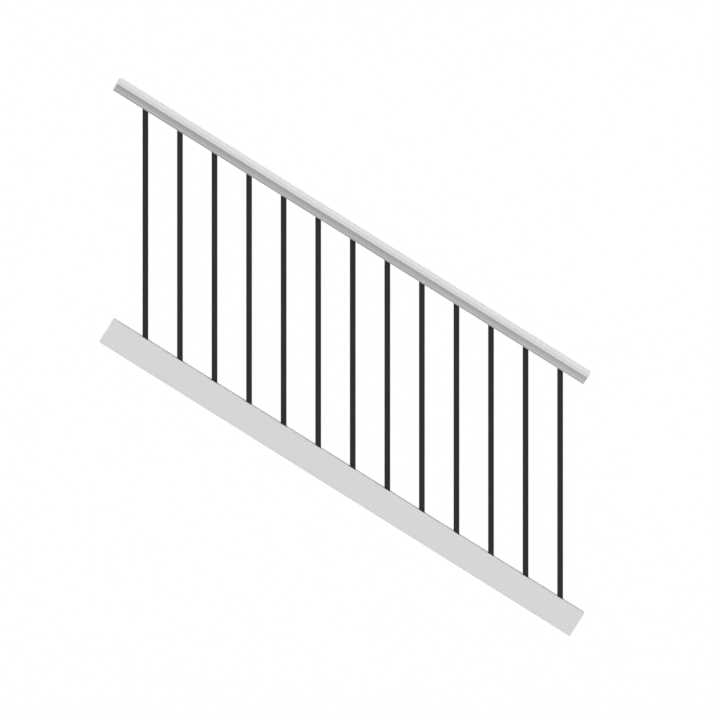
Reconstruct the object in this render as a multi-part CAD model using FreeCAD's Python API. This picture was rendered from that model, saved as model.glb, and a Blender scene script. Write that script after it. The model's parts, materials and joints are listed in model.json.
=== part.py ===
import FreeCAD, Part
import math
import os

# Stair balustrade panel: a moulded vinyl top rail and a plain vinyl bottom rail, both hollow and both at
# the rake of the stair, with plumb square aluminium balusters between them. Each baluster is housed in a
# routed hole in either rail and bears on an aluminium channel that stiffens the rail from inside.
# Millimetres. +X runs downhill, +Y across the panel and +Z up. The origin is on the lower end face of the
# bottom rail, in the middle of that face's lower edge.

# Panel
RAKE = 32.2  # slope of both rails, degrees
RAIL_LENGTH = 1833.0  # each rail, along the slope, with its ends cut square
CLEAR_HEIGHT = 758.8  # plumb, from the top of the bottom rail to the underside of the top rail
BALUSTER_PITCH = 114.0  # level, from one baluster's middle to the next
BOTTOM_LOWER_END = 93.8  # along the bottom rail, from its lower end to the middle of the lowest hole
TOP_LOWER_END = 89.8  # along the top rail, likewise
UPPER_END = 60.0  # along either rail, the least that is left beyond the highest hole

# Both rails
RAIL_WALL = 2.8  # thickness of the extruded vinyl
RAIL_WEB = 2.2  # thickness of the webs and ribs inside
RIB_HEIGHT = 5.0  # of the two ribs that guide a rail's channel

# Bottom rail
BOTTOM_WIDTH = 51.0
BOTTOM_HEIGHT = 89.0
BOTTOM_RADIUS = 2.0  # of the four long edges
SHELF_DEPTH = 44.0  # from the top of the rail down to the shelf inside it

# Top rail
TOP_WIDTH = 89.0  # across the cap
TOP_HEIGHT = 46.3  # from the underside of the lip to the crest of the crown
CROWN_RISE = 3.5  # of the crest above the cap's straight sides
CAP_SIDE = 14.5  # height of the cap's straight sides
COVE_DEPTH = 1.0  # hollow of the cove under the cap, off its chord
LIP_WIDTH = 51.0
LIP_LAND = 1.2  # upright face of the lip, under the cove
LIP_CHAMFER = 7.2  # along the lower edges of the lip, at 45 degrees
SHOULDER_RADIUS = 2.0  # between the crown and the cap's sides
CAP_EDGE_RADIUS = 1.5  # between the cap's sides and the cove
LIP_RADIUS = 1.0  # of the two edges of the lip's chamfer

# Balusters
BALUSTER_SIDE = 19.0
BALUSTER_RADIUS = 2.5  # of the tube's outer corners
BALUSTER_WALL = 1.3
BALUSTER_PLAY = 0.3  # between the top of a baluster and the channel over it
HOLE_CLEARANCE = 0.4  # round a baluster in its routed hole

# Channels
CHANNEL_HEIGHT = 22.0
CHANNEL_WALL = 2.0
CHANNEL_RADIUS = 1.2  # of the channel's outer corners
CHANNEL_CLEARANCE = 0.3  # between a channel and the guide rib at either side
CHANNEL_SETBACK = 6.0  # from either end of the rail to the channel's end

OVERRUN = 1.0  # how far a cutting tool runs past the face that it opens
SAME_PLACE = 0.001  # points nearer than this are one point

# Worked out from the sizes above
SLOPE = math.radians(RAKE)
LEVEL_AXIS = FreeCAD.Vector(0, 1, 0)
ORIGIN = FreeCAD.Vector(0, 0, 0)
UPHILL = FreeCAD.Vector(-1, 0, 0)  # along a rail in its level drawing position
TOP_LEVEL = BOTTOM_HEIGHT + CLEAR_HEIGHT * math.cos(SLOPE)  # underside of the top rail, square to the slope
LOWER_END_SHIFT = BOTTOM_LOWER_END - TOP_LOWER_END
TOP_START = CLEAR_HEIGHT * math.sin(SLOPE) + LOWER_END_SHIFT  # how far uphill the top rail's lower end lies
SHELF_LEVEL = BOTTOM_HEIGHT - SHELF_DEPTH
SEAT_LEVEL = SHELF_LEVEL + CHANNEL_WALL
STOP_LEVEL = TOP_LEVEL + RAIL_WALL + CHANNEL_HEIGHT - CHANNEL_WALL - BALUSTER_PLAY
LIP_HEIGHT = LIP_LAND + LIP_CHAMFER
LIP_FLAT = LIP_WIDTH - 2 * LIP_CHAMFER  # flat part of the top rail's underside
FLOOR_WIDTH = LIP_FLAT - 2 * RAIL_WALL * math.tan(math.pi / 8)  # flat part of the floor over it
CHANNEL_WIDTH = FLOOR_WIDTH - 2 * CHANNEL_CLEARANCE
FIRST_X = BOTTOM_HEIGHT * math.sin(SLOPE) - BOTTOM_LOWER_END * math.cos(SLOPE)
PITCH_ALONG_RAIL = BALUSTER_PITCH / math.cos(SLOPE)
ROUTED_LENGTH = RAIL_LENGTH - max(BOTTOM_LOWER_END, TOP_LOWER_END) - UPPER_END
BALUSTER_COUNT = int(ROUTED_LENGTH / PITCH_ALONG_RAIL) + 1
NEXT_BALUSTER = FreeCAD.Vector(-BALUSTER_PITCH, 0, BALUSTER_PITCH * math.tan(SLOPE))


def at(across, up):
    """A point of a rail's section, drawn at the rail's lower end."""
    return FreeCAD.Vector(0, across, up)


def line(start, end):
    return Part.LineSegment(at(*start), at(*end)).toShape()


def arc(start, middle, end):
    return Part.Arc(at(*start), at(*middle), at(*end)).toShape()


def raked(shape):
    """A shape turned from its level drawing position to the slope of the stair."""
    turned = shape.copy()
    turned.rotate(ORIGIN, LEVEL_AXIS, RAKE)
    return turned


def round_long_edges(solid, corner, radius):
    """Round the edges along a rail that stand at a corner (across, up) of its section, on both sides."""
    edges = []
    for edge in solid.Edges:
        box = edge.BoundBox
        level = box.YLength < SAME_PLACE and box.ZLength < SAME_PLACE
        across = abs(abs(box.Center.y) - corner[0]) < SAME_PLACE
        up = abs(box.Center.z - corner[1]) < SAME_PLACE
        if level and across and up:
            edges.append(edge)
    return solid.makeFillet(radius, edges)


def hollowed(solid, webs):
    """A rail blank bored from end to end, with one wall all round and webs left standing inside."""
    end_face = max(solid.Faces, key=lambda face: face.CenterOfMass.x)
    bore = end_face.makeOffset2D(-RAIL_WALL).extrude(UPHILL * RAIL_LENGTH)
    return solid.cut(bore.cut(webs))


def rail_plate(across, up, width, height):
    """A flat web as long as a rail, from its lower corner (across, up)."""
    corner = FreeCAD.Vector(-RAIL_LENGTH, across, up)
    return Part.makeBox(RAIL_LENGTH, width, height, corner)


def guide_ribs(floor):
    """Two low ribs on a floor inside a rail, with the channel between them."""
    inner = FLOOR_WIDTH / 2
    foot = floor - RAIL_WEB
    height = RAIL_WEB + RIB_HEIGHT
    left = rail_plate(-inner - RAIL_WEB, foot, RAIL_WEB, height)
    right = rail_plate(inner, foot, RAIL_WEB, height)
    return [left, right]


def bottom_rail_blank():
    half = BOTTOM_WIDTH / 2
    blank = rail_plate(-half, 0, BOTTOM_WIDTH, BOTTOM_HEIGHT)
    blank = round_long_edges(blank, (half, 0), BOTTOM_RADIUS)
    blank = round_long_edges(blank, (half, BOTTOM_HEIGHT), BOTTOM_RADIUS)
    shelf = rail_plate(-half, SHELF_LEVEL - RAIL_WEB, BOTTOM_WIDTH, RAIL_WEB)
    return hollowed(blank, [shelf] + guide_ribs(SHELF_LEVEL))


def top_rail_section():
    """Crowned cap, straight sides, a cove on either side and the chamfered lip below."""
    cap = TOP_WIDTH / 2
    lip = LIP_WIDTH / 2
    flat = LIP_FLAT / 2
    shoulder = TOP_HEIGHT - CROWN_RISE
    cap_foot = shoulder - CAP_SIDE
    run = cap - lip
    fall = cap_foot - LIP_HEIGHT
    chord = math.hypot(run, fall)
    cove_across = (cap + lip) / 2 - COVE_DEPTH * fall / chord
    cove_up = (cap_foot + LIP_HEIGHT) / 2 + COVE_DEPTH * run / chord
    edges = [
        arc((-cap, shoulder), (0, TOP_HEIGHT), (cap, shoulder)),
        line((cap, shoulder), (cap, cap_foot)),
        arc((cap, cap_foot), (cove_across, cove_up), (lip, LIP_HEIGHT)),
        line((lip, LIP_HEIGHT), (lip, LIP_CHAMFER)),
        line((lip, LIP_CHAMFER), (flat, 0)),
        line((flat, 0), (-flat, 0)),
        line((-flat, 0), (-lip, LIP_CHAMFER)),
        line((-lip, LIP_CHAMFER), (-lip, LIP_HEIGHT)),
        arc((-lip, LIP_HEIGHT), (-cove_across, cove_up), (-cap, cap_foot)),
        line((-cap, cap_foot), (-cap, shoulder)),
    ]
    return Part.Face(Part.Wire(edges))


def top_rail_blank():
    cap = TOP_WIDTH / 2
    lip = LIP_WIDTH / 2
    shoulder = TOP_HEIGHT - CROWN_RISE
    blank = top_rail_section().extrude(UPHILL * RAIL_LENGTH)
    blank = round_long_edges(blank, (cap, shoulder), SHOULDER_RADIUS)
    blank = round_long_edges(blank, (cap, shoulder - CAP_SIDE), CAP_EDGE_RADIUS)
    blank = round_long_edges(blank, (lip, LIP_CHAMFER), LIP_RADIUS)
    blank = round_long_edges(blank, (LIP_FLAT / 2, 0), LIP_RADIUS)
    inner = lip - RAIL_WALL
    left_web = rail_plate(-inner - RAIL_WEB, 0, RAIL_WEB, TOP_HEIGHT)
    right_web = rail_plate(inner, 0, RAIL_WEB, TOP_HEIGHT)
    return hollowed(blank, [left_web, right_web] + guide_ribs(RAIL_WALL))


def channel():
    """An aluminium channel with its legs up, standing on level 0."""
    half = CHANNEL_WIDTH / 2
    length = RAIL_LENGTH - 2 * CHANNEL_SETBACK
    corner = FreeCAD.Vector(-RAIL_LENGTH + CHANNEL_SETBACK, -half, 0)
    outside = Part.makeBox(length, CHANNEL_WIDTH, CHANNEL_HEIGHT, corner)
    outside = round_long_edges(outside, (half, 0), CHANNEL_RADIUS)
    inside = rail_plate(-half + CHANNEL_WALL, CHANNEL_WALL, CHANNEL_WIDTH - 2 * CHANNEL_WALL, CHANNEL_HEIGHT)
    return outside.cut(inside)


def plumb_height(level):
    """Height at which the lowest baluster's middle line crosses a level of the slope."""
    return (level - FIRST_X * math.sin(SLOPE)) / math.cos(SLOPE)


def plumb_bar(side, radius, low, high):
    """A plumb square bar in the lowest baluster's place, cut to the rake at a low and a high level."""
    foot = plumb_height(low) - side
    head = plumb_height(high) + side
    bar = Part.makeBox(side, side, head - foot, FreeCAD.Vector(FIRST_X - side / 2, -side / 2, foot))
    plumb_edges = [edge for edge in bar.Edges if edge.BoundBox.ZLength > SAME_PLACE]
    bar = bar.makeFillet(radius, plumb_edges)
    corner = FreeCAD.Vector(-RAIL_LENGTH, -side, low)
    between = Part.makeBox(2 * RAIL_LENGTH, 2 * side, high - low, corner)
    return bar.common(raked(between))


def baluster():
    """A square tube from the channel in the bottom rail to the channel in the top rail."""
    bore_side = BALUSTER_SIDE - 2 * BALUSTER_WALL
    bore_radius = BALUSTER_RADIUS - BALUSTER_WALL
    outside = plumb_bar(BALUSTER_SIDE, BALUSTER_RADIUS, SEAT_LEVEL, STOP_LEVEL)
    bore = plumb_bar(bore_side, bore_radius, SEAT_LEVEL - OVERRUN, STOP_LEVEL + OVERRUN)
    return outside.cut(bore)


def up_the_slope(shape):
    """Copies of a shape at every baluster, from the lowest to the highest."""
    copies = []
    for place in range(BALUSTER_COUNT):
        copies.append(shape.translated(NEXT_BALUSTER * place))
    return copies


def routed_holes(low, high):
    """Tools that open a rail wall between two levels round every baluster."""
    side = BALUSTER_SIDE + 2 * HOLE_CLEARANCE
    radius = BALUSTER_RADIUS + HOLE_CLEARANCE
    return up_the_slope(plumb_bar(side, radius, low - OVERRUN, high + OVERRUN))


def save(node, shape):
    shape.exportStep("parts/" + node + ".step")
    print(node, "solids", len(shape.Solids), "volume", round(shape.Volume), "valid", shape.isValid())


os.makedirs("parts", exist_ok=True)

bottom_rail = raked(bottom_rail_blank())
bottom_rail = bottom_rail.cut(routed_holes(BOTTOM_HEIGHT - RAIL_WALL, BOTTOM_HEIGHT))
save("bottom_rail", bottom_rail)

top_rail_place = FreeCAD.Vector(-TOP_START, 0, TOP_LEVEL)
top_rail = raked(top_rail_blank().translated(top_rail_place))
top_rail = top_rail.cut(routed_holes(TOP_LEVEL, TOP_LEVEL + RAIL_WALL))
save("top_rail", top_rail)

bottom_channel = channel().translated(FreeCAD.Vector(0, 0, SHELF_LEVEL))
save("bottom_rail_channel", raked(bottom_channel))

top_channel = channel().mirror(ORIGIN, FreeCAD.Vector(0, 0, 1))
top_channel_level = TOP_LEVEL + RAIL_WALL + CHANNEL_HEIGHT
top_channel = top_channel.translated(FreeCAD.Vector(-TOP_START, 0, top_channel_level))
save("top_rail_channel", raked(top_channel))

for number, tube in enumerate(up_the_slope(baluster()), start=1):
    save("baluster_%02d" % number, tube)
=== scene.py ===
# %% [markdown]
# # A stair balustrade panel
# The panel is two white vinyl rails at the slope of a stair, with plumb black balusters between them.
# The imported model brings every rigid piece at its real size, in metres, so nothing is moved or resized
# here. This lesson sets the camera, gives each surface its finish, then adds the floor and the light.

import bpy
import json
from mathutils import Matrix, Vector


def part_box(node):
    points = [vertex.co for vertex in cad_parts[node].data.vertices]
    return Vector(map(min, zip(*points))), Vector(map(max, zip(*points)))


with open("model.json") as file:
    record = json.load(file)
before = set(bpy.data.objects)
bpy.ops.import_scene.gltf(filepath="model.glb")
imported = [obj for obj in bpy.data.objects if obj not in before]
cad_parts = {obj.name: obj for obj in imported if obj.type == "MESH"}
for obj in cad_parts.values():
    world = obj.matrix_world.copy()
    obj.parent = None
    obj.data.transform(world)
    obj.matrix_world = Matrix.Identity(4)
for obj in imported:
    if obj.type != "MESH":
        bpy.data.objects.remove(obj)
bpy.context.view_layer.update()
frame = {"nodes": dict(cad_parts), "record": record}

# %% [markdown]
# Everything on a rail follows the rail's own directions: down the slope, across the panel and square to the
# slope. They could be typed in as an angle, but the record already has them. Its mount on the lower end of
# the bottom rail points straight down the slope, so the rake is read from there and can't disagree.

# %% The directions of a rail
import json
import math

import bpy
from mathutils import Vector

mounts = {mount["name"]: mount for mount in frame["record"]["mounts"]}
DOWNHILL = Vector(mounts["bottom_rail_lower_end"]["axis"])
ACROSS = Vector((0, 1, 0))
SQUARE_UP = DOWNHILL.cross(ACROSS)
print("rake", round(math.degrees(math.atan2(-DOWNHILL.z, DOWNHILL.x)), 2), "degrees")

# %% [markdown]
# ## Camera
# The photo shows the panel square on and slightly from above, and parallel edges stay parallel right
# across it. An orthographic camera gives that, where a lens would make the plumb balusters converge.
# Its width is the photo's width times the real size of one pixel, which is the balusters' pitch in the
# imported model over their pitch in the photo. The camera is aimed by the pixel at which the foot of the
# panel, the origin of the model, appears.

# %% Camera
PHOTO_SIDE = 720  # pixels
PITCH_IN_PHOTO = 34.562  # pixels from one baluster to the next
ORIGIN_PIXEL = (569.81, 635.18)  # the lower edge of the bottom rail's lower end
CAMERA_ELEVATION = math.radians(6.9)
CAMERA_DISTANCE = 6.0  # metres

baluster_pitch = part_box("baluster_01")[0].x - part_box("baluster_02")[0].x
pixel = baluster_pitch / PITCH_IN_PHOTO
right_of_origin = (PHOTO_SIDE / 2 - ORIGIN_PIXEL[0]) * pixel
above_origin = (ORIGIN_PIXEL[1] - PHOTO_SIDE / 2) * pixel
aim = Vector((right_of_origin, 0, above_origin / math.cos(CAMERA_ELEVATION)))
towards_camera = Vector((0, -math.cos(CAMERA_ELEVATION), math.sin(CAMERA_ELEVATION)))

camera_data = bpy.data.cameras.new("photo_camera")
camera_data.type = "ORTHO"
camera_data.ortho_scale = PHOTO_SIDE * pixel
camera = bpy.data.objects.new("photo_camera", camera_data)
camera.location = aim + towards_camera * CAMERA_DISTANCE
camera.rotation_euler = (-towards_camera).to_track_quat("-Z", "Y").to_euler()
bpy.context.scene.collection.objects.link(camera)
bpy.context.scene.camera = camera
print("camera frame", round(camera_data.ortho_scale, 3), "m wide")

# %% [markdown]
# ## Shader sums as Python
# A finish is easier to read as a formula than as a web of boxes. `Wire` holds one output socket, and
# adding, subtracting, multiplying or comparing wires puts the Math nodes in. Either side may be a plain
# number, so `1 - mask` is a wire as well.

# %% Wire
class Wire:
    """One output socket that can stand in a Python sum."""

    def __init__(self, socket):
        self.socket = socket

    def math(self, operation, first, second):
        node = self.socket.id_data.nodes.new("ShaderNodeMath")
        node.operation = operation
        plug(node.inputs[0], first)
        plug(node.inputs[1], second)
        return Wire(node.outputs[0])

    def __add__(self, other):
        return self.math("ADD", self, other)

    def __radd__(self, other):
        return self.math("ADD", other, self)

    def __sub__(self, other):
        return self.math("SUBTRACT", self, other)

    def __rsub__(self, other):
        return self.math("SUBTRACT", other, self)

    def __mul__(self, other):
        return self.math("MULTIPLY", self, other)

    def __rmul__(self, other):
        return self.math("MULTIPLY", other, self)

    def __gt__(self, other):
        return self.math("GREATER_THAN", self, other)

    def __lt__(self, other):
        return self.math("LESS_THAN", self, other)


def plug(socket, value):
    """Link a wire to a socket, or write a plain value on it."""
    if isinstance(value, Wire):
        socket.id_data.links.new(value.socket, socket)
    else:
        socket.default_value = value


print("wires can be added, subtracted, multiplied and compared")

# %% [markdown]
# `Sheet` is any page of nodes, a material's or the world's. Its one method makes every other kind of
# node: the settings first, because they decide which sockets there are, then what goes into those
# sockets. `Finish` is a material's page with the principled shader on it.

# %% Sheet and Finish
class Sheet:
    """A node tree, and one way to put any node in it."""

    def __init__(self, tree):
        self.tree = tree

    def node(self, kind, settings=None, sockets=None, output=0):
        made = self.tree.nodes.new(kind)
        for setting, value in (settings or {}).items():
            setattr(made, setting, value)
        for socket, value in (sockets or {}).items():
            plug(made.inputs[socket], value)
        return Wire(made.outputs[output])


class Finish(Sheet):
    """One material. Sockets that are the same all over are given as words, such as Metallic=1.0."""

    def __init__(self, name, **constants):
        self.material = bpy.data.materials.new(name)
        self.material.use_nodes = True
        super().__init__(self.material.node_tree)
        self.shader = self.tree.nodes["Principled BSDF"]
        for socket, value in constants.items():
            self.feed(socket.replace("_", " "), value)

    def feed(self, socket, value):
        plug(self.shader.inputs[socket], value)

    def blend(self, share, first, second):
        """A colour between two colours. A Mix node takes colours at sockets 6 and 7 and gives one at 2."""
        return self.node("ShaderNodeMix", {"data_type": "RGBA"}, {0: share, 6: first, 7: second}, output=2)

    def dot(self, vector, direction):
        return self.node("ShaderNodeVectorMath", {"operation": "DOT_PRODUCT"},
                         {0: vector, 1: direction}, output="Value")

    def relief(self, height):
        """Tilt the surface, as the light sees it, by a height in metres."""
        self.feed("Normal", self.node("ShaderNodeBump", sockets={"Height": height, "Distance": 1.0}))


print("finishes ready to be written")

# %% [markdown]
# ## Grain that follows the rail
# Vinyl and aluminium are pushed through a die, so what marks them runs along them: a scratch in the die
# is a line as long as the rail. The same noise makes round mottling and long die lines when the point is
# measured in the rail's own directions and divided by the size of a spot in each. A UV map would do this
# too, but the solids have none, and these coordinates hold on every face without a seam.

# %% Spots of a given size
RAIL_DIRECTIONS = (DOWNHILL, ACROSS, SQUARE_UP)


def spots(finish, size, detail=2.0):
    """Noise from 0 to 1. A spot's size is its length along the rail and its width round it, in metres."""
    along, across = size
    place = finish.node("ShaderNodeTexCoord", output="Object")
    counts = []
    for direction, extent in zip(RAIL_DIRECTIONS, (along, across, across)):
        counts.append(finish.dot(place, direction) * (1 / extent))
    measured = finish.node("ShaderNodeCombineXYZ", sockets=dict(zip("XYZ", counts)))
    return finish.node("ShaderNodeTexNoise", sockets={"Vector": measured, "Scale": 1.0, "Detail": detail})


print("a die line 1.5 m by 1.2 mm is spots(finish, (1.5, 0.0012))")

# %% [markdown]
# ## Sawn ends
# Both the rails and the channels in them are cut to length on a saw, square to the slope, and a sawn face
# is duller than the drawn skin and carries the faint arcs of the blade. The cut faces could be picked by
# hand, but any face that looks up or down the slope is one, so the mask is how far the normal leans that
# way. The arcs are rings about the blade's axle, which stood well outside the rail.

# %% Sawn faces
CUT_LEAN = 0.5  # the skin of a rail leans 0 along the slope and a square cut leans 1
BLADE_AXLE = (0.0, 0.14, 0.3)  # metres, measured along the rail's directions
TOOTH_MARK = 0.0016  # metres from one ring to the next


def sawn(finish):
    """A mask of the cut faces, and the height of the blade's rings from 0 to 1."""
    normal = finish.node("ShaderNodeNewGeometry", output="True Normal")
    lean = finish.node("ShaderNodeMath", {"operation": "ABSOLUTE"}, {0: finish.dot(normal, DOWNHILL)})
    place = finish.node("ShaderNodeTexCoord", output="Object")
    across = finish.dot(place, ACROSS)
    up = finish.dot(place, SQUARE_UP)
    on_cut = finish.node("ShaderNodeCombineXYZ", sockets={"Y": across, "Z": up})
    reach = finish.node("ShaderNodeVectorMath", {"operation": "DISTANCE"},
                        {0: on_cut, 1: BLADE_AXLE}, output="Value")
    rings = finish.node("ShaderNodeMath", {"operation": "SINE"}, {0: reach * (2 * math.pi / TOOTH_MARK)})
    return lean > CUT_LEAN, 0.5 + 0.5 * rings


print("rings", TOOTH_MARK * 1000, "mm apart on every cut face")

# %% [markdown]
# ## White vinyl
# The rails are rigid white vinyl with a satin skin. From the photo's distance they are one even, neutral
# white, and anything stronger would look dirty. Close to, the white is slightly mottled where pigment and
# resin mixed, its shade drifts slowly along the rail, and the die leaves lines along it. One colour would
# do from far away, but noise that chooses between two whites, not far apart, holds up close to as well.
# The specular level is low, because in a white room all shine is added white. It would lift the shaded
# coves and flatten the moulding.

# %% White vinyl: colour
BRIGHT_VINYL = (0.84, 0.84, 0.84, 1)
DULL_VINYL = (0.74, 0.74, 0.735, 1)
SAWN_VINYL = (0.80, 0.80, 0.79, 1)
DRIFT_SPOT = (0.45, 0.2)  # metres along the rail and round it
MOTTLE_SPOT = (0.006, 0.004)
DIE_LINE = (1.5, 0.0012)
DRIFT_SHARE = 0.4  # how far each marking can take the skin from bright to dull
MOTTLE_SHARE = 0.35
DIE_LINE_SHARE = 0.25

vinyl = Finish("white_vinyl", Specular_IOR_Level=0.1)
drift = spots(vinyl, DRIFT_SPOT, detail=1.0)
mottle = spots(vinyl, MOTTLE_SPOT, detail=3.0)
die_lines = spots(vinyl, DIE_LINE)
cut, rings = sawn(vinyl)

dullness = DRIFT_SHARE * drift + MOTTLE_SHARE * mottle + DIE_LINE_SHARE * die_lines
skin = vinyl.blend(dullness, BRIGHT_VINYL, DULL_VINYL)
vinyl.feed("Base Color", vinyl.blend(cut, skin, SAWN_VINYL))
print("white vinyl, colour:", len(vinyl.tree.nodes), "nodes")

# %% [markdown]
# The die lines belong mostly in the gloss, because what the die has scratched is rougher than the skin
# beside it. The cut faces could have a shader of their own, but only their numbers differ, so the mask of
# the cut takes the roughness from that of the skin to that of a sawn face.

# %% White vinyl: gloss
SMOOTHEST_VINYL = 0.56
DIE_LINE_ROUGHNESS = 0.14  # what each marking can add to it
MOTTLE_ROUGHNESS = 0.08
SAWN_ROUGHNESS = 0.8

skin_roughness = SMOOTHEST_VINYL + DIE_LINE_ROUGHNESS * die_lines + MOTTLE_ROUGHNESS * mottle
vinyl.feed("Roughness", skin_roughness + cut * (SAWN_ROUGHNESS - skin_roughness))
print("vinyl roughness from", SMOOTHEST_VINYL, "on the skin to", SAWN_ROUGHNESS, "on a cut")

# %% [markdown]
# The skin isn't quite flat. Vinyl shrinks as it cools and leaves a slow waviness that bends long
# reflections, over it the fine peel of the cooling sizer, and over that the die lines. Moving the mesh by
# a tenth of a millimetre would take millions of faces, so this is a bump. All three are heights in metres,
# so they can be added up and sent through one. A cut face has the blade's rings in place of all three.

# %% White vinyl: relief
WAVE_SPOT = (0.25, 0.035)
PEEL_SPOT = (0.0026, 0.0022)
WAVE_HEIGHT = 0.00012  # metres
PEEL_HEIGHT = 0.00005
DIE_LINE_HEIGHT = 0.00004
RING_HEIGHT = 0.00003

wave = spots(vinyl, WAVE_SPOT, detail=1.0)
peel = spots(vinyl, PEEL_SPOT)
skin_height = WAVE_HEIGHT * wave + PEEL_HEIGHT * peel + DIE_LINE_HEIGHT * die_lines
vinyl.relief(skin_height * (1 - cut) + RING_HEIGHT * rings * cut)
print("vinyl relief under", round((WAVE_HEIGHT + PEEL_HEIGHT + DIE_LINE_HEIGHT) * 1000, 3), "mm")

# %% [markdown]
# ## Black powder coat
# The balusters are aluminium tubes with a baked black powder coat, and up close the black has a fine grit.
# Noise stays near its middle, so the grit is stretched away from it before it chooses between two blacks.
# The lighter blacks are partly painted glints: the same noise raises the grit in the bump, so the tops of
# the grit are painted lighter, as if they caught the light.
# From the photo's distance it evens out again. A glossy black would mirror the white room and turn grey,
# but in the photo the tubes stay dark, so the coat is a satin with little shine.

# %% Black powder coat: colour
DEEP_BLACK = (0.004, 0.004, 0.0045, 1)
# the lighter black serves the slow drift of the coat and the painted glints on the grit
SOFT_BLACK = (0.025, 0.025, 0.025, 1)
COAT_DRIFT_SPOT = (0.12, 0.12)
GRIT_SPOT = (0.0005, 0.0005)
NOISE_MIDDLE = 0.5
GRIT_CONTRAST = 3.0
COAT_DRIFT_SHARE = 0.3  # how far each takes the coat from deep to soft black
GRIT_AND_GLINT_SHARE = 0.7

powder_coat = Finish("black_powder_coat", Specular_IOR_Level=0.165)
coat_drift = spots(powder_coat, COAT_DRIFT_SPOT, detail=1.0)
grit = spots(powder_coat, GRIT_SPOT)
# painted glints: the grit is stretched apart, and its raised tops are painted a lighter black
grit_with_painted_glints = NOISE_MIDDLE + GRIT_CONTRAST * (grit - NOISE_MIDDLE)
softness = COAT_DRIFT_SHARE * coat_drift + GRIT_AND_GLINT_SHARE * grit_with_painted_glints
powder_coat.feed("Base Color", powder_coat.blend(softness, DEEP_BLACK, SOFT_BLACK))
print("black powder coat, colour:", len(powder_coat.tree.nodes), "nodes")

# %% [markdown]
# In the oven the powder melts into a skin that never flows quite level, which leaves a fine orange peel.
# It could be one more colour, but on black it shows only by its shine. So the peel and the grit go into
# the roughness and, as heights, into the bump.

# %% Black powder coat: gloss and relief
COAT_PEEL_SPOT = (0.0018, 0.0018)
COAT_PEEL_HEIGHT = 0.00007
GRIT_HEIGHT = 0.00002
SMOOTHEST_COAT = 0.40
COAT_PEEL_ROUGHNESS = 0.16
GRAIN_ROUGHNESS = 0.10

coat_peel = spots(powder_coat, COAT_PEEL_SPOT)
powder_coat.feed("Roughness", SMOOTHEST_COAT + COAT_PEEL_ROUGHNESS * coat_peel + GRAIN_ROUGHNESS * grit_with_painted_glints)
powder_coat.relief(COAT_PEEL_HEIGHT * coat_peel + GRIT_HEIGHT * grit)
print("powder coat relief under", round((COAT_PEEL_HEIGHT + GRIT_HEIGHT) * 1000, 3), "mm")

# %% [markdown]
# ## Mill aluminium
# The channels inside the rails are never painted. They show only through the open rail ends, as a grey
# metal with bright and dull streaks along it, because the die burnishes some lines more than others, and
# with a cloudy oxide over them. A plain grey would look like paint. Metal has no colour under its shine, so
# the streaks go into the roughness as well.

# %% Mill aluminium
BRIGHT_METAL = (0.80, 0.81, 0.82, 1)
DULL_METAL = (0.62, 0.63, 0.645, 1)
STREAK = (0.9, 0.0006)
OXIDE_SPOT = (0.03, 0.012)
STREAK_SHARE = 0.6  # how far each takes the metal from bright to dull
OXIDE_SHARE = 0.4
SMOOTHEST_METAL = 0.24
STREAK_ROUGHNESS = 0.2
OXIDE_ROUGHNESS = 0.08
METAL_CUT_ROUGHNESS = 0.12
STREAK_HEIGHT = 0.000008

aluminium = Finish("mill_aluminium", Metallic=1.0)
streaks = spots(aluminium, STREAK, detail=3.0)
oxide = spots(aluminium, OXIDE_SPOT)
metal_cut, metal_rings = sawn(aluminium)
tarnish = STREAK_SHARE * streaks + OXIDE_SHARE * oxide
aluminium.feed("Base Color", aluminium.blend(tarnish, BRIGHT_METAL, DULL_METAL))
metal_roughness = SMOOTHEST_METAL + STREAK_ROUGHNESS * streaks + OXIDE_ROUGHNESS * oxide
aluminium.feed("Roughness", metal_roughness + METAL_CUT_ROUGHNESS * metal_cut)
aluminium.relief(STREAK_HEIGHT * streaks * (1 - metal_cut) + RING_HEIGHT * metal_rings * metal_cut)
print("mill aluminium:", len(aluminium.tree.nodes), "nodes")

# %% [markdown]
# ## Dressing the pieces
# The names of all the pieces could be typed in beside their finishes. But the record says which material
# slot each piece has, so the finishes are handed out by slot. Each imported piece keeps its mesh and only
# swaps its material.

# %% Dress the pieces
FINISH_OF_SLOT = {
    "white_vinyl": vinyl,
    "black_coated_aluminium": powder_coat,
    "bare_aluminium": aluminium,
}

for subpart in frame["record"]["subparts"]:
    materials = frame["nodes"][subpart["node"]].data.materials
    materials.clear()
    materials.append(FINISH_OF_SLOT[subpart["material_slot"]].material)

# %% [markdown]
# ## Floor
# The panel is held by its rail ends, so it hangs over a plain pale floor with room below its lowest corner.
# The photo's background is pure white, but a floor of that white would throw so much light upwards that
# the shaded coves would fade. So the floor is a middle grey to the light that bounces, and only rays from
# the camera, or by way of a reflection, get the rest up to white. The shadow stays on it.

# %% Floor
FLOOR_SIDE = 60.0  # metres
FLOOR_HEIGHT = -0.8  # metres, so far down that no shadow shows in the photo's view
FLOOR_GREY = (0.175, 0.175, 0.175, 1)
FLOOR_LIFT = 0.806  # from the lit grey to white


def seen_rays(sheet):
    """1 for rays from the camera and for reflections, 0 for light that bounces between surfaces."""
    rays = []
    for kind in ("Is Camera Ray", "Is Glossy Ray", "Is Transmission Ray"):
        rays.append(sheet.node("ShaderNodeLightPath", output=kind))
    return rays[0] + rays[1] + rays[2]


bpy.ops.mesh.primitive_plane_add(size=FLOOR_SIDE, location=(0, 0, FLOOR_HEIGHT))
floor = bpy.context.object
floor.name = "studio_floor"
pale_floor = Finish("pale_floor", Base_Color=FLOOR_GREY, Roughness=0.9, Specular_IOR_Level=0.0,
                    Emission_Strength=FLOOR_LIFT)
pale_floor.feed("Emission Color", seen_rays(pale_floor))
floor.data.materials.append(pale_floor.material)
print("floor at", FLOOR_HEIGHT, "m")

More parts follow.
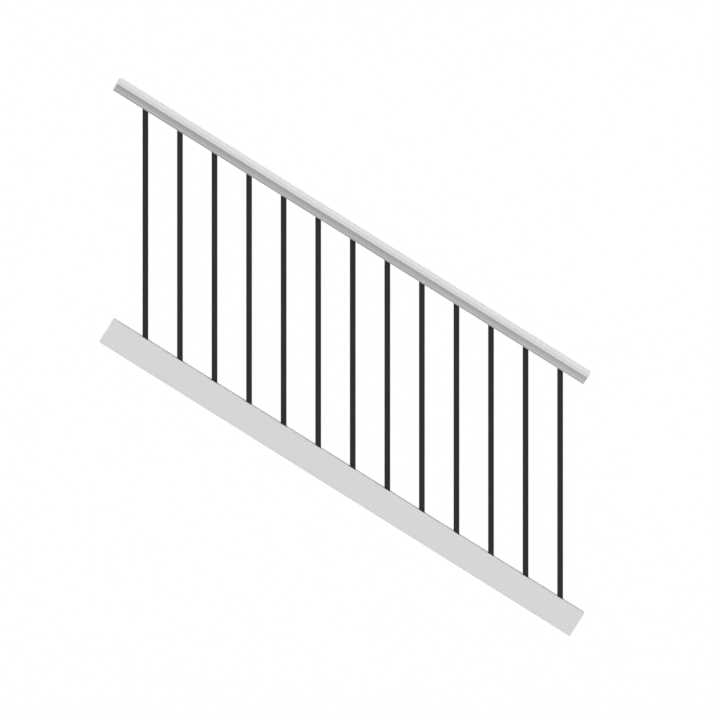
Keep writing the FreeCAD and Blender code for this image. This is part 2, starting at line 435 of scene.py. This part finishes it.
# %% [markdown]
# ## Light
# The room's light is even and dim, so that shaded faces keep some detail. As with the floor, the camera
# and reflections see it as white, by a mix of two backgrounds. The Standard view shows colours as they are
# computed, where Blender's usual view would turn that white grey.

# %% World
WHITE = (1, 1, 1, 1)
ROOM_LIGHT = 0.32

world = bpy.data.worlds.new("studio")
bpy.context.scene.world = world
world.use_nodes = True
room = Sheet(world.node_tree)
dim = room.node("ShaderNodeBackground", sockets={"Strength": ROOM_LIGHT, "Color": WHITE})
white = room.node("ShaderNodeBackground", sockets={"Strength": 1.0, "Color": WHITE})
mixed = room.node("ShaderNodeMixShader", sockets={0: seen_rays(room), 1: dim, 2: white})
plug(room.tree.nodes["World Output"].inputs["Surface"], mixed)
bpy.context.scene.view_settings.view_transform = "Standard"
print("room light", ROOM_LIGHT)

# %% [markdown]
# Lamps give the faces their different tones. A long face of a rail feels only the part of a lamp's light
# that falls across the rail. The part that runs along the slope is free: it changes the sawn ends and, a
# little, the black balusters. So each lamp's direction is written as a sum of the rail's own directions.
# The front lamp runs downhill, to shine a little way into the open uphill ends. Two lamps stand behind:
# one for the long back faces, and one low at the uphill side, whose light rises across the slope and
# reaches the undersides. A narrow lamp straight overhead lights the crown of the top rail. It is narrow so
# that the top rail shades the top of the bottom rail, which is the thin grey line along it in the photo.

# %% Lamps
STRAIGHT_DOWN = Vector((0, 0, -1))


def lamp(name, strength, spread, direction):
    """A parallel lamp that shines along a direction, as soft as its spread in degrees."""
    data = bpy.data.lights.new(name, "SUN")
    data.energy = strength
    data.angle = math.radians(spread)
    made = bpy.data.objects.new(name, data)
    made.rotation_euler = direction.to_track_quat("-Z", "Y").to_euler()
    bpy.context.scene.collection.objects.link(made)
    print(name, "lamp", strength)


lamp("front", strength=2.15, spread=50, direction=ACROSS - 0.43 * SQUARE_UP + 0.44 * DOWNHILL)
lamp("back", strength=0.94, spread=20, direction=-ACROSS - 0.07 * SQUARE_UP + 0.25 * DOWNHILL)
lamp("uphill", strength=1.21, spread=14, direction=-ACROSS + 0.35 * SQUARE_UP + 0.94 * DOWNHILL)
lamp("overhead", strength=1.07, spread=4, direction=STRAIGHT_DOWN)

# %% [markdown]
# The downhill ends look at the floor, and none of those lamps reaches them. A brighter floor would, but it
# would fade the coves. So a small lamp just above the floor, straight down the slope from the bottom rail,
# shines back up at the ends of both rails. Its middle is a little below the plane of that rail's top face,
# so that face hardly feels it. The camera can't see it.

# %% Low lamp
LOW_LAMP_SIDE = 0.1  # metres
LOW_LAMP_WATTS = 13.0
LOW_LAMP_REACH = 1.48  # metres downhill of the bottom rail's lower end
LOW_LAMP_LEVEL = 0.08  # metres above the plane of the bottom rail's underside; its top face is at 0.089

low_lamp_data = bpy.data.lights.new("low", "AREA")
low_lamp_data.size = LOW_LAMP_SIDE
low_lamp_data.energy = LOW_LAMP_WATTS
low_lamp = bpy.data.objects.new("low", low_lamp_data)
low_lamp.location = LOW_LAMP_REACH * DOWNHILL + LOW_LAMP_LEVEL * SQUARE_UP
low_lamp.rotation_euler = (-DOWNHILL).to_track_quat("-Z", "Y").to_euler()
low_lamp.visible_camera = False
bpy.context.scene.collection.objects.link(low_lamp)
print("low lamp", round(low_lamp.location.z - FLOOR_HEIGHT, 3), "m above the floor")
